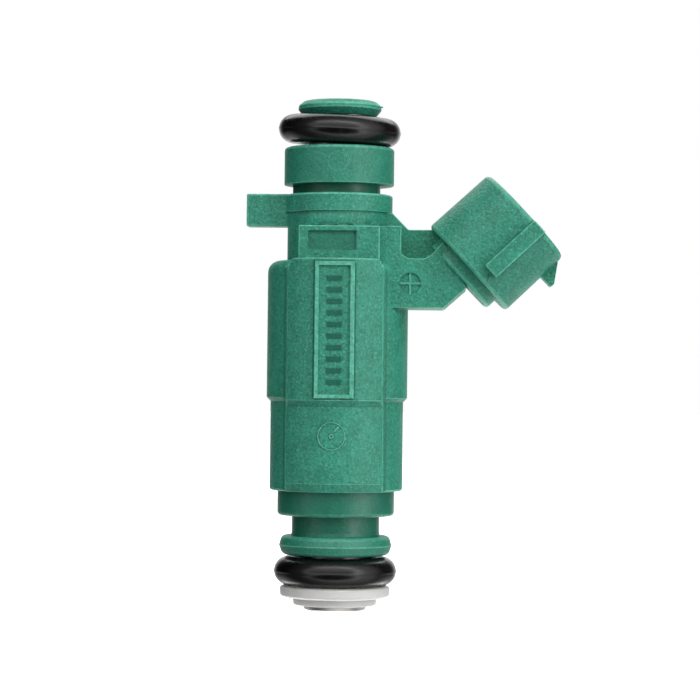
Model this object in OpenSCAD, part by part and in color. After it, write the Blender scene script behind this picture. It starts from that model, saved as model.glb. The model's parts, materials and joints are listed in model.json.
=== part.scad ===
// Port fuel injector with a side connector, in millimetres.
// +Z runs up the injector's axis from the spray tip to the fuel inlet, +X points towards the
// electrical connector, and the origin is the centre of the spray tip's lower face.

/* [Overall] */
// Height of the injector from the spray tip to the inlet lip
total_h = 61; // [60:0.5:62]
// Outer radius of the steel inlet tube and valve body
tube_r = 3.85; // [3.8:0.01:3.9]

/* [Seal rings] */
// Outer diameter of both O-rings
seal_od = 14.7; // [14.5:0.1:14.7]
// Thickness of both O-rings
seal_section = 3.5; // [3.4:0.05:3.5]
// Height of the upper O-ring's centre
upper_seal_z = 57.5; // [57.5:0.05:57.6]
// Lean of the upper O-ring in its groove towards the connector, in degrees
upper_seal_lean = 2.4; // [0:0.1:2.4]
// Lean of the upper O-ring in its groove towards the front, in degrees
upper_seal_front_lean = 2.4; // [0:0.1:2.4]
// Height of the lower O-ring's centre
lower_seal_z = 4.77; // [4.77:0.01:4.8]

/* [Moulded housing] */
// Radius of the collar that enters the fuel rail
collar_r = 6.58; // [6.5:0.01:6.7]
// Radius of the neck that the retaining clip holds
clip_neck_r = 4.95; // [4.8:0.05:5.2]
// Radius of the flange below the clip neck
flange_r = 6.43; // [6.3:0.01:6.6]
// Radius of the cylinder between the flange and the body
shoulder_r = 6.13; // [6:0.01:6.25]
// Radius of the body over the coil
body_r = 8.42; // [8.3:0.02:8.5]
// Radius of the body below the step
body_low_r = 7.95; // [7.8:0.05:8.1]
// Radius of the collar that enters the manifold
low_collar_r = 7; // [6.9:0.05:7.2]
// Radius of the neck above the lower spacer ring
low_neck_r = 5.24; // [5.1:0.02:5.4]
// Reach of the locating tab from the axis
tab_reach = 11; // [10:0.5:12]

/* [Body panels] */
// Half width of the raised panels on the front and back of the body
panel_half_w = 5.88; // [5.5:0.02:6]
// Height that the panels stand above the body
panel_proud = 0.38; // [0.2:0.02:0.5]
// Width of the framed plate on the front panel
plate_w = 4.7; // [4:0.1:5]
// Height of the framed plate on the front panel
plate_h = 16.1; // [15:0.1:16.2]

/* [Connector] */
// Angle of the connector's mating axis above horizontal, in degrees
plug_angle = 43; // [42:0.5:44]
// Height of the connector shell across its mating axis
shell_h = 13.4; // [13:0.1:14]
// Width of the connector shell from side to side
shell_w = 15.6; // [15:0.1:16.5]
// Depth of the connector shell along its mating axis
shell_d = 9.35; // [9:0.05:9.6]
// Wall thickness of the connector shell
shell_wall = 1.3; // [1.1:0.1:1.4]
// Distance between the centres of the two terminals
terminal_pitch = 4.9; // [4.8:0.1:5.2]

/* [Valve] */
// Lift of the valve from closed to open
valve_lift = 0.08; // [0.05:0.01:0.1]
// Radius of the valve ball
ball_r = 1.6; // [1.5:0.05:1.65]
// Height of the valve ball's centre when it is closed
ball_z = 3.9; // [3.88:0.01:3.92]
// Turns of the closing spring
spring_turns = 10; // [8:1:12]
// Thickness of the closing spring's wire
spring_wire = 0.5; // [0.4:0.05:0.5]

/* [Hidden] */

$fn = 96;
cut = 0.5;               // how far a cutting shape runs past the face it cuts
grip = 0.4;              // how far joined features sink into each other

// Heights up the axis
low_neck_z = 9;
low_collar_z = 11.4;
body_z = 14.4;
step_z = 25;
step_h = 0.5;
body_top_z = 41.8;
flange_z = 47.6;
clip_neck_z = 49.74;
collar_z = 50.9;
collar_top_z = 55.4;
tube_top_z = 59.2;

// Rounded corners of the housing
body_round = 1.4;
collar_round = 0.35;
low_collar_round = 0.5;

// Locating tab and the pad on the front of the upper cylinder
tab_z = 47.85;
tab_h = 3.9;
tab_t = 3;
pad_left_x = -4.45;
pad_right_x = 5.15;
pad_face_y = 6.65;
pad_h = 4;
pad_window_left_x = -3.3;
pad_window_w = 5.7;
pad_window_h = 2.3;
pad_window_up = 1.1;
pad_window_depth = 0.35;

// Fuel inlet
inlet_bore_r = 2.3;
lip_r = 5;
lip_foot_r = 4.35;
lip_wide_h = 0.8;
lip_round = 0.7;
filter_low_z = 45.6;
filter_floor_t = 0.8;
filter_ring_z = 55.2;
filter_top_z = 56.6;
filter_floor_r = 2.85;
filter_ring_bore_r = 2.4;
mesh_t = 0.14;

// Rings round the nozzle
spacer_z = 6.7;
spacer_r = 6.73;
spacer_round = 0.8;
tip_step_z = 0.7;
tip_step_r = 5.04;
tip_ring_z = 1.6;
tip_ring_top_z = 3;
tip_ring_r = 6.59;

// Coil pack
coil_housing_r = 6.9;
coil_housing_wall = 0.9;
coil_housing_z = 15.4;
coil_housing_top_z = 34.4;
housing_floor = 1.6;
washer_t = 1.4;
washer_r = coil_housing_r - coil_housing_wall;
bobbin_bore_r = tube_r + 0.1;
bobbin_core_r = 4.55;
bobbin_flange_r = 5.9;
bobbin_flange_t = 0.9;
bobbin_z = coil_housing_z + housing_floor + 0.1;
bobbin_top_z = coil_housing_top_z - washer_t - 0.1;
winding_r = 5.75;
tower_near_x = 4;
tower_far_x = 5.15;
tower_half_w = 3;
tower_top_z = 36;

// Magnetic gap and valve guides
armature_r = 3.2;
armature_z = 19.5;
armature_top_z = 26.5;
core_z = armature_top_z + valve_lift + 0.04;
sleeve_z = 23.5;
sleeve_top_z = 30;
pole_r = 3.3;
guide_clearance = 0.03;
guide_ring_t = 0.5;
guide_ring_r = 3.6;
armature_room_z = armature_z - 1;
fuel_bore_r = 2.2;
spring_bore_r = 1.9;
filter_bore_r = 3;
filter_bore_z = 44;
pocket_r = 1.75;
pocket_z = 24;
adjuster_z = 36;
adjuster_top_z = 43;
adjuster_bore_r = 1.3;
adjuster_slot = 0.5;

// Nozzle
needle_r = 1.5;
needle_bore_r = 1;
needle_z = 4.5;
seat_bore_r = 2.9;
seat_z = 0.2;
guide_disc_z = 3.6;
lift_ring_z = 4.3;
nozzle_bore_z = 6.4;
plate_t = seat_z;
plate_r = 2.6;
sac_r = 0.6;
seat_gap = 0.02;

// Connector frame: the centre of the shell's base on the mid plane
plug_x = 15.5;
plug_z = 41.05;
shell_round = 6.2;
cavity_d = 8.2;
terminal_t = 0.6;
blade_w = 2.8;
blade_recess = 2;

// Arm
arm_half_t = 5.2;
web_half_t = 2.1;

// ---------- shared shapes ----------

// Plain cylinder between two heights
module disc(z0, z1, r) {
    translate([0, 0, z0]) cylinder(r = r, h = z1 - z0);
}

// Ring between two heights
module ring(z0, z1, r_out, r_in) {
    difference() {
        disc(z0, z1, r_out);
        disc(z0 - cut, z1 + cut, r_in);
    }
}

// Half outline of a disc whose rim has round corners of its own size at the top and the bottom
module rim_profile(h, r, round_top, round_low) {
    square([r - max(round_top, round_low), h]);
    translate([0, round_low]) square([r, h - round_low - round_top]);
    if (round_top > 0) {
        translate([0, h - round_top]) square([r - round_top, round_top]);
        translate([r - round_top, h - round_top]) circle(r = round_top);
    }
    if (round_low > 0) {
        square([r - round_low, round_low]);
        translate([r - round_low, round_low]) circle(r = round_low);
    }
}

// Disc with a round-cornered rim
module soft_disc(z0, z1, r, round_top, round_low) {
    translate([0, 0, z0])
        rotate_extrude()
            rim_profile(z1 - z0, r, round_top, round_low);
}

// Rectangle with round corners, centred
module round_rect(w, h, r) {
    square([w, h - 2 * r], center = true);
    square([w - 2 * r, h], center = true);
    for (sx = [-1, 1], sy = [-1, 1])
        translate([sx * (w / 2 - r), sy * (h / 2 - r)]) circle(r = r);
}

// Plate standing in the XZ plane, centred on Y, from an outline drawn as X and Z
module standing_plate(half_t) {
    rotate([90, 0, 0])
        translate([0, 0, -half_t])
            linear_extrude(height = 2 * half_t)
                children();
}

// Places its children in the connector's frame: +Z along the mating axis, +X up across the shell
module plug_frame() {
    translate([plug_x, 0, plug_z])
        rotate([0, 90 - plug_angle, 0])
            mirror([1, 0, 0])
                children();
}

// O-ring with its centre at a height
module o_ring(z) {
    translate([0, 0, z])
        rotate_extrude()
            translate([(seal_od - seal_section) / 2, 0])
                circle(d = seal_section);
}

// ---------- housing ----------

// Turned shape of the housing, before the flat features
module housing_turned() {
    disc(low_neck_z, low_collar_z + grip, low_neck_r);
    soft_disc(low_collar_z, body_z + grip, low_collar_r, 0, low_collar_round);
    soft_disc(body_z, step_z + grip, body_low_r, 0, 0.3);
    translate([0, 0, step_z])
        cylinder(r1 = body_low_r, r2 = body_r, h = step_h);
    soft_disc(step_z + step_h, body_top_z, body_r, body_round, 0);
    disc(body_top_z - grip, flange_z + grip, shoulder_r);
    disc(flange_z, clip_neck_z, flange_r);
    disc(clip_neck_z - grip, collar_z + grip, clip_neck_r);
    soft_disc(collar_z, collar_top_z, collar_r, collar_round, 0);
}

// Raised panels on the front and the back of the body
module body_panels() {
    intersection() {
        union() {
            disc(body_z, step_z, body_low_r + panel_proud);
            translate([0, 0, step_z])
                cylinder(r1 = body_low_r + panel_proud, r2 = body_r + panel_proud, h = step_h);
            disc(step_z + step_h, body_top_z + 0.1, body_r + panel_proud);
        }
        translate([-panel_half_w, -body_r - 1, body_z])
            cube([2 * panel_half_w, 2 * body_r + 2, body_top_z - body_z + 0.1]);
    }
}

// Blank framed plate on the front panel
module framed_plate() {
    frame_face = body_r + panel_proud + 0.12;
    frame_z = step_z + step_h - 0.1;
    border = 0.5;
    window_depth = 0.3;
    difference() {
        translate([-plate_w / 2, -frame_face, frame_z])
            cube([plate_w, 1.2, plate_h]);
        translate([border - plate_w / 2, -frame_face - cut, frame_z + border])
            cube([plate_w - 2 * border, cut + window_depth, plate_h - 2 * border]);
    }
}

// Pad with a shallow window on the front of the upper cylinder
module front_pad() {
    difference() {
        translate([pad_left_x, -pad_face_y, body_top_z - grip])
            cube([pad_right_x - pad_left_x, pad_face_y / 2, pad_h + grip]);
        translate([pad_window_left_x, -pad_face_y - cut, body_top_z + pad_window_up])
            cube([pad_window_w, cut + pad_window_depth, pad_window_h]);
    }
}

// Locating tab on the side away from the connector
module locating_tab() {
    translate([-tab_reach, 0, tab_z])
        rotate([0, 90, 0])
            linear_extrude(height = tab_reach - tube_r - 1)
                round_rect(tab_h, tab_t, 0.4);
}

// Rib that keys the retaining clip in its neck
module clip_key() {
    key_reach = 5.5;
    key_w = 1.8;
    translate([-key_reach, -key_w / 2, clip_neck_z - grip])
        cube([key_reach - tube_r + grip, key_w, collar_z - clip_neck_z + 2 * grip]);
}

// Thick plate of the arm, with its notch above
module arm_plate() {
    standing_plate(arm_half_t)
        polygon([
            [3, 36.2], [12.65, 36.2], [15.35, 38.6], [12.6, 44.05], [11.9, 43.3],
            [11.2, 42.5], [10.45, 42.03], [8.6, 42.03], [7.85, 42.3], [7.63, 42.9],
            [7.63, 45.85], [3, 45.85]
        ]);
}

// Thin web that closes the notch behind, with a gusset up to the flange
module arm_web() {
    standing_plate(web_half_t)
        polygon([
            [3, 38], [13.3, 38], [13.3, 45.6], [8.4, 45.6], [6.5, 47.55], [3, 47.55]
        ]);
}

// Shallow round mark with a raised cross on the front of the arm
module arm_mark() {
    mark_x = 8.73;
    mark_z = 39.08;
    mark_r = 1.28;
    mark_depth = 0.3;
    cross_w = 0.24;
    translate([mark_x, -arm_half_t, mark_z])
        difference() {
            rotate([90, 0, 0]) cylinder(r = mark_r, h = 2 * mark_depth, center = true);
            for (turn = [0, 90])
                rotate([0, turn, 0])
                    translate([-1.2 * mark_r, mark_depth / 2, -cross_w / 2])
                        cube([2.4 * mark_r, mark_depth, cross_w]);
        }
}

// Outside of the connector: base slab, shell, side ribs and locking nib
module connector_outside() {
    slab_t = 1.5;
    slab_h = 9.8;
    slab_w = 12;
    rib_start = 1.5;
    rib_w = 1.95;
    rib_mid = -2.25;
    rib_proud = 0.9;
    rib_root = 6.5;
    nib_half_w = 2;
    plug_frame() {
        translate([-0.05, 0, -slab_t])
            linear_extrude(height = slab_t + grip)
                round_rect(slab_h, slab_w, 4);
        linear_extrude(height = shell_d)
            round_rect(shell_h, shell_w, shell_round);
        for (side = [-1, 1])
            translate([rib_mid - rib_w / 2, side > 0 ? rib_root : -shell_w / 2 - rib_proud, rib_start])
                cube([rib_w, shell_w / 2 + rib_proud - rib_root, shell_d - rib_start]);
        translate([0, -nib_half_w, 0])
            rotate([-90, 0, 0])
                linear_extrude(height = 2 * nib_half_w)
                    polygon([
                        [-shell_h / 2 + grip, -5.8], [-shell_h / 2, -5.8], [-8.3, -5.85],
                        [-8.3, -6.35], [-shell_h / 2, -8.4], [-shell_h / 2 + grip, -8.4]
                    ]);
    }
}

// Socket of the connector
module connector_cavity() {
    plug_frame()
        translate([0, 0, shell_d - cavity_d])
            linear_extrude(height = cavity_d + cut)
                round_rect(shell_h - 2 * shell_wall, shell_w - 2 * shell_wall,
                    shell_round - shell_wall);
}

// Room inside the housing for the steel parts and the coil pack
module housing_core() {
    disc(low_neck_z - cut, collar_top_z + cut, tube_r);
    disc(coil_housing_z, coil_housing_top_z, coil_housing_r);
    bobbin_tower();
}

module overmould() {
    color("seagreen")
        difference() {
            union() {
                housing_turned();
                body_panels();
                framed_plate();
                front_pad();
                locating_tab();
                clip_key();
                arm_plate();
                arm_web();
                connector_outside();
            }
            housing_core();
            connector_cavity();
            arm_mark();
            terminal_blank(-1);
            terminal_blank(1);
        }
}

// ---------- fuel inlet ----------

module inlet_retainer() {
    lip_h = total_h - tube_top_z;
    color("seagreen")
        difference() {
            union() {
                translate([0, 0, tube_top_z])
                    rotate_extrude() {
                        polygon([
                            [0, 0], [lip_foot_r, 0], [lip_r, lip_wide_h], [lip_r, lip_h - lip_round],
                            [lip_r - lip_round, lip_h], [0, lip_h]
                        ]);
                        translate([lip_r - lip_round, lip_h - lip_round]) circle(r = lip_round);
                    }
                disc(filter_top_z, tube_top_z + grip, filter_bore_r);
            }
            disc(filter_top_z - cut, total_h + cut, inlet_bore_r);
        }
}

module inlet_tube() {
    color("silver")
        difference() {
            union() {
                disc(sleeve_top_z, tube_top_z, tube_r);
                disc(core_z, sleeve_top_z + grip, pole_r);
            }
            disc(core_z - cut, filter_bore_z + grip, spring_bore_r);
            disc(filter_bore_z, tube_top_z + cut, filter_bore_r);
        }
}

module filter_basket() {
    post_count = 4;
    post_w = 0.6;
    post_x = inlet_bore_r + mesh_t + 0.01;
    floor_top_z = filter_low_z + filter_floor_t;
    color("ivory") {
        ring(filter_ring_z, filter_top_z, filter_bore_r, filter_ring_bore_r);
        disc(filter_low_z, floor_top_z, filter_floor_r);
        for (i = [0 : post_count - 1])
            rotate([0, 0, 45 + i * 360 / post_count])
                translate([post_x, -post_w / 2, floor_top_z - grip])
                    cube([filter_floor_r - post_x, post_w, filter_ring_z - floor_top_z + 2 * grip]);
    }
}

module filter_mesh() {
    color("lightgray")
        ring(filter_low_z + filter_floor_t, filter_ring_z, inlet_bore_r + mesh_t, inlet_bore_r);
}

// ---------- seals and rings ----------

module upper_o_ring() {
    color("dimgray")
        translate([0, 0, upper_seal_z])
            rotate([upper_seal_front_lean, upper_seal_lean, 0])
                o_ring(0);
}

module lower_o_ring() {
    color("dimgray") o_ring(lower_seal_z);
}

module lower_spacer() {
    color("seagreen")
        difference() {
            soft_disc(spacer_z, low_neck_z, spacer_r, spacer_round, spacer_round);
            disc(spacer_z - cut, low_neck_z + cut, tube_r);
        }
}

module tip_retaining_ring() {
    color("whitesmoke")
        difference() {
            union() {
                soft_disc(tip_ring_z, tip_ring_top_z, tip_ring_r, 0.5, 0.5);
                soft_disc(tip_step_z, tip_ring_z + grip, tip_step_r, 0, 0.25);
            }
            disc(tip_step_z - cut, tip_ring_top_z + cut, tube_r);
        }
}

// ---------- steel body and magnet circuit ----------

module valve_body() {
    tip_r = 3.2;
    guide_seat_z = sleeve_z - guide_ring_t;
    color("darkgray")
        rotate_extrude()
            polygon([
                [seat_bore_r, 0], [tip_r, 0], [3.66, 0.2], [tube_r, 0.6], [tube_r, sleeve_z],
                [guide_ring_r, sleeve_z], [guide_ring_r, guide_seat_z], [pole_r, guide_seat_z],
                [pole_r, armature_room_z], [fuel_bore_r, armature_room_z],
                [fuel_bore_r, nozzle_bore_z], [seat_bore_r, nozzle_bore_z]
            ]);
}

module nonmagnetic_sleeve() {
    color("lightsteelblue") ring(sleeve_z, sleeve_top_z, tube_r, pole_r);
}

module coil_housing() {
    color("gray")
        difference() {
            disc(coil_housing_z, coil_housing_top_z, coil_housing_r);
            disc(coil_housing_z - cut, coil_housing_top_z, tube_r);
            disc(coil_housing_z + housing_floor, coil_housing_top_z + cut, washer_r);
        }
}

module flux_washer() {
    color("slategray")
        difference() {
            ring(coil_housing_top_z - washer_t, coil_housing_top_z, washer_r, tube_r);
            translate([tower_near_x, -tower_half_w, coil_housing_top_z - washer_t - cut])
                cube([washer_r, 2 * tower_half_w, washer_t + 2 * cut]);
        }
}

// Block on the bobbin that holds the terminals
module bobbin_tower() {
    translate([tower_near_x, -tower_half_w, bobbin_top_z - grip])
        cube([tower_far_x - tower_near_x, 2 * tower_half_w, tower_top_z - bobbin_top_z + grip]);
}

module coil_bobbin() {
    color("tan")
        difference() {
            union() {
                disc(bobbin_z, bobbin_top_z, bobbin_core_r);
                disc(bobbin_z, bobbin_z + bobbin_flange_t, bobbin_flange_r);
                disc(bobbin_top_z - bobbin_flange_t, bobbin_top_z, bobbin_flange_r);
                bobbin_tower();
            }
            disc(bobbin_z - cut, tower_top_z + cut, bobbin_bore_r);
            terminal_blank(-1);
            terminal_blank(1);
        }
}

module coil_winding() {
    color("chocolate")
        ring(bobbin_z + bobbin_flange_t, bobbin_top_z - bobbin_flange_t, winding_r, bobbin_core_r);
}

// Stamped terminal strip: a leg in the bobbin's tower, a slanted run and a blade in the socket
module terminal_blank(side) {
    leg_x = 4.25;
    leg_w = 0.7;
    leg_z = bobbin_top_z + 0.6;
    run_w = 1.2;
    knee_z = 38;
    floor_d = shell_d - cavity_d;
    tip_d = shell_d - blade_recess;
    translate([0, side * terminal_pitch / 2, 0]) {
        standing_plate(terminal_t / 2)
            polygon([
                [leg_x, leg_z], [leg_x + leg_w, leg_z], [leg_x + leg_w, knee_z],
                [plug_x - 0.9, plug_z - 1.6], [plug_x - 1.9, plug_z - 0.6],
                [leg_x, knee_z + run_w]
            ]);
        plug_frame() {
            translate([-run_w / 2, -terminal_t / 2, -2.2])
                cube([run_w, terminal_t, tip_d]);
            translate([-blade_w / 2, -terminal_t / 2, floor_d - 0.5])
                cube([blade_w, terminal_t, tip_d - floor_d + 0.5]);
        }
    }
}

module terminal_left() {
    color("goldenrod") terminal_blank(-1);
}

module terminal_right() {
    color("goldenrod") terminal_blank(1);
}

// ---------- spring and its adjuster ----------

module adjusting_sleeve() {
    color("lightgray")
        difference() {
            ring(adjuster_z, adjuster_top_z, spring_bore_r, adjuster_bore_r);
            translate([0, -adjuster_slot / 2, adjuster_z - cut])
                cube([2 * spring_bore_r, adjuster_slot, adjuster_top_z - adjuster_z + 2 * cut]);
        }
}

// Height along the spring: closed turns at both ends and even turns between
function spring_rise(u) =
    let (closed = 1.2, wire = spring_wire * 1.04, free = spring_turns - 2 * closed)
    u < closed ? u * wire
    : u > spring_turns - closed
        ? spring_span - (spring_turns - u) * wire
        : closed * wire + (u - closed) / free * (spring_span - 2 * closed * wire);

spring_low_z = pocket_z + spring_wire / 2 + 0.02;
spring_high_z = adjuster_z - spring_wire / 2 - 0.02;
spring_span = spring_high_z - spring_low_z;
spring_mean_r = 1.4;
spring_steps = 24;
spring_sides = 8;

module closing_spring() {
    rings = spring_turns * spring_steps;
    points = [
        for (i = [0 : rings])
            let (turn = i / spring_steps, a = 360 * turn, z = spring_low_z + spring_rise(turn))
            for (k = [0 : spring_sides - 1])
                let (b = 360 * k / spring_sides, r = spring_mean_r + spring_wire / 2 * cos(b))
                [r * cos(a), r * sin(a), z + spring_wire / 2 * sin(b)]
    ];
    sides = [
        for (i = [0 : rings - 1], k = [0 : spring_sides - 1])
            let (a = i * spring_sides, n = (k + 1) % spring_sides)
            [a + k, a + n, a + spring_sides + n, a + spring_sides + k]
    ];
    ends = [
        [for (k = [spring_sides - 1 : -1 : 0]) k],
        [for (k = [0 : spring_sides - 1]) rings * spring_sides + k]
    ];
    color("gainsboro") polyhedron(points = points, faces = concat(sides, ends), convexity = 20);
}

// ---------- moving valve ----------

module armature() {
    color("slategray")
        difference() {
            disc(armature_z, armature_top_z, armature_r);
            disc(armature_z - cut, armature_top_z, needle_r);
            disc(pocket_z, armature_top_z + cut, pocket_r);
        }
}

module needle_tube() {
    port_z = 7.2;
    port_r = 0.5;
    color("silver")
        difference() {
            ring(needle_z, pocket_z, needle_r, needle_bore_r);
            translate([0, 0, ball_z]) sphere(r = ball_r);
            for (turn = [0, 90])
                translate([0, 0, port_z])
                    rotate([0, 90, turn])
                        cylinder(r = port_r, h = 4 * needle_r, center = true);
        }
}

module valve_ball() {
    color("gainsboro") translate([0, 0, ball_z]) sphere(r = ball_r);
}

// ---------- guides and nozzle ----------

module upper_guide_ring() {
    color("burlywood")
        ring(sleeve_z - guide_ring_t, sleeve_z, guide_ring_r, armature_r + guide_clearance);
}

module lower_guide_disc() {
    port_count = 5;
    port_r = 0.35;
    port_x = (seat_bore_r + ball_r) / 2 + 0.02;
    color("darkgray")
        difference() {
            ring(guide_disc_z, lift_ring_z, seat_bore_r, ball_r + guide_clearance);
            for (i = [0 : port_count - 1])
                rotate([0, 0, i * 360 / port_count])
                    translate([port_x, 0, guide_disc_z - cut])
                        cylinder(r = port_r, h = lift_ring_z - guide_disc_z + 2 * cut);
        }
}

module lift_ring() {
    color("lightgray") ring(lift_ring_z, nozzle_bore_z, seat_bore_r, fuel_bore_r);
}

// Seat puck with a 90 degree cone that the ball closes
module valve_seat() {
    cone_tip_z = ball_z - (ball_r + seat_gap) * sqrt(2);
    mouth_r = guide_disc_z - cone_tip_z;
    color("gray")
        difference() {
            disc(seat_z, guide_disc_z, seat_bore_r);
            translate([0, 0, cone_tip_z + sac_r])
                cylinder(r1 = sac_r, r2 = mouth_r + 0.1, h = mouth_r - sac_r + 0.1);
            disc(seat_z - cut, cone_tip_z + sac_r + 0.01, sac_r);
            disc(guide_disc_z - 0.25, guide_disc_z + cut, plate_r);
        }
}

module orifice_plate() {
    hole_count = 4;
    hole_r = 0.11;
    hole_circle_r = 0.34;
    color("lightgray")
        difference() {
            disc(0, plate_t, plate_r);
            for (i = [0 : hole_count - 1])
                rotate([0, 0, 45 + i * 360 / hole_count])
                    translate([hole_circle_r, 0, -cut]) cylinder(r = hole_r, h = plate_t + 2 * cut);
        }
}

overmould();
inlet_retainer();
inlet_tube();
filter_basket();
filter_mesh();
upper_o_ring();
lower_o_ring();
lower_spacer();
tip_retaining_ring();
valve_body();
nonmagnetic_sleeve();
coil_housing();
flux_washer();
coil_bobbin();
coil_winding();
terminal_left();
terminal_right();
adjusting_sleeve();
closing_spring();
armature();
needle_tube();
valve_ball();
upper_guide_ring();
lower_guide_disc();
lift_ring();
valve_seat();
orifice_plate();
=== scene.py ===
"""Looks of a port fuel injector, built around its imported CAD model.

Shapes are made in millimetres and turned into metres by place(). +Z runs up the injector's axis
from the spray tip, +X points towards the connector, and the framed plate faces -Y.
"""

import json
import math

import bmesh
import bpy
import numpy as np
from mathutils import Matrix, Vector


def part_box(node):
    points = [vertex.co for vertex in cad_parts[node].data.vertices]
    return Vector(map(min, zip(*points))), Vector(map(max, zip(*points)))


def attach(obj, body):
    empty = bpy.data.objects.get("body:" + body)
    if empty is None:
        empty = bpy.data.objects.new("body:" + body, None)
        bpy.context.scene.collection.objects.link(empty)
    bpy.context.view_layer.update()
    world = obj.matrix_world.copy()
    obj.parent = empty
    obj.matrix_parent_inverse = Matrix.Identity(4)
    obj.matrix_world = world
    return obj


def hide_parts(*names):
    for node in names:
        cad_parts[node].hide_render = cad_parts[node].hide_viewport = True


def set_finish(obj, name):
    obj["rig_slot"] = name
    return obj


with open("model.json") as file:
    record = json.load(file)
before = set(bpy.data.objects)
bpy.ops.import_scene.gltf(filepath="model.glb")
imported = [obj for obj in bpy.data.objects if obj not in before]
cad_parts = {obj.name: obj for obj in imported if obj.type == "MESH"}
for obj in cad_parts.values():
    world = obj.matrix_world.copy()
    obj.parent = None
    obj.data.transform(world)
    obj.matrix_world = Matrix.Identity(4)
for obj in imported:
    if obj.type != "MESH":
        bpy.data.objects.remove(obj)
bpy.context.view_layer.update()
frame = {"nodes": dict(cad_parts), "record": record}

MM = 0.001
TURN = 2 * math.pi


def node_box(name):
    """A CAD node's lowest and highest corners, in millimetres."""
    low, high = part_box(name)
    return low / MM, high / MM


# ---------- sizes from the frame ----------
TUBE_R = node_box("valve_body")[1].x
BORE_R = 2.3
TOP_Z = node_box("inlet_retainer")[1].z
TUBE_TOP_Z = node_box("inlet_tube")[1].z
HOUSING_LOW, HOUSING_HIGH = node_box("overmould")
COIL_LOW, COIL_HIGH = node_box("coil_housing")
TOWER_TOP_Z = node_box("coil_bobbin")[1].z
SPACER_LOW, SPACER_HIGH = node_box("lower_spacer")
TIP_RING_LOW, TIP_RING_HIGH = node_box("tip_retaining_ring")
SEAL_LOW, SEAL_HIGH = node_box("lower_o_ring")
SEAL_SECTION = SEAL_HIGH.z - SEAL_LOW.z
SEAL_R = SEAL_HIGH.x - SEAL_SECTION / 2
LOWER_SEAL_Z = (SEAL_LOW.z + SEAL_HIGH.z) / 2
UPPER_SEAL_Z = sum(corner.z for corner in node_box("upper_o_ring")) / 2

# ---------- sizes of the housing, in millimetres ----------
NECK_LOW_Z = HOUSING_LOW.z
LOW_COLLAR_Z = 11.4
BODY_Z = 14.4
STEP_Z = 25
STEP_H = 0.5
BODY_TOP_Z = 41.8
FLANGE_Z = 47.6
CLIP_NECK_Z = 49.74
COLLAR_Z = 50.9
COLLAR_TOP_Z = HOUSING_HIGH.z
LOW_NECK_R = 5.24
LOW_COLLAR_R = 7
BODY_LOW_R = 7.95
BODY_R = 8.42
SHOULDER_R = 6.13
FLANGE_R = 6.43
CLIP_NECK_R = 4.95
COLLAR_R = 6.58
CORE_R = 3

PANEL_HALF_W = 5.88
PANEL_PROUD = 0.38
PANEL_PROUD_LOW = 0.35
PANEL_BLEND = 0.34
PANEL_CORNER = 1.2
PANEL_TOP_Z = 42.05
PLATE_FACE_Y = -8.92
PLATE_W = 4.7
PLATE_H = 16.1
PLATE_Z = 25.4
PLATE_BORDER = 0.5
WINDOW_DEPTH = 0.3
BAR_COUNT = 10
BAR_PITCH = 1.35
BAR_W, BAR_H, BAR_PROUD = 1.8, 0.62, 0.15

ARM_HALF_T = 5.2
WEB_HALF_T = 2.1
MARK_X, MARK_Z, MARK_R, MARK_DEPTH, MARK_CROSS_W = 8.73, 39.08, 1.28, 0.3, 0.24

PAD_X0, PAD_X1, PAD_FACE_Y, PAD_TOP_Z = -4.45, 5.15, -6.65, 45.8
PAD_WINDOW_X0, PAD_WINDOW_X1, PAD_WINDOW_Y = -3.3, 2.4, -6.3
PAD_WINDOW_Z0, PAD_WINDOW_Z1 = 42.9, 45.2

PLUG_X, PLUG_Z = 15.5, 41.05
PLUG_ANGLE = math.radians(43)
SHELL_H, SHELL_W, SHELL_D = 13.4, 15.6, 9.35
SHELL_ROUND, SHELL_WALL, CAVITY_D = 6.2, 1.3, 8.2
SHELL_TAPER = 0.12
SLAB_H, SLAB_W, SLAB_ROUND, SLAB_D = 9.8, 12, 4, 1.5
RIB_X, RIB_HALF_W, RIB_PROUD, RIB_START = -2.25, 0.975, 0.9, 1.5
NIB_TIP_X, NIB_HALF_W = -8.3, 2
PLUG_FRAME = (
    Matrix.Translation((PLUG_X, 0, PLUG_Z))
    @ Matrix.Rotation(math.pi / 2 - PLUG_ANGLE, 4, "Y")
    @ Matrix.Diagonal((-1, 1, 1, 1))
)

DIAL_X, DIAL_Z, DIAL_R = -0.25, 21, 1.6
GATE_X, GATE_Z, GATE_R = 0.1, 53.35, 1.15
SPECK_Z, SPECK_HALF_W = 24.6, 0.07

# ---------- sizes of the rings and the lip, in millimetres ----------
SEAL_LEAN_SIDE, SEAL_LEAN_FRONT = math.radians(2.4), math.radians(2.4)
FLASH_PROUD, FLASH_SPREAD = 0.05, 0.06
LIP_R, LIP_SPIGOT_R, LIP_SPIGOT_D = 5, 2.98, 2.6
RING_CLEARANCE = 0.01

# ---------- how faces are marked: bend per millimetre, and area in square millimetres ----------
EDGE_BEND_LOW, EDGE_BEND_HIGH = 0.6, 2.8
HOLLOW_FACE_AREA = 0.1

# ---------- sizes of the coil and its terminals, in millimetres ----------
BOBBIN_CORE_R = 4.55
WIRE_D = 0.3
TERMINAL_T, TERMINAL_PITCH = 0.6, 4.9
LEG_X, LEG_W, RUN_W, KNEE_Z = 4.25, 0.7, 1.2, 38
BLADE_W, BLADE_RECESS, BLADE_TAPER = 2.8, 2, 0.8
TOWER_X0, TOWER_X1, TOWER_HALF_W, TOWER_LOW_Z = 4, 5.15, 3, 30

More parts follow.
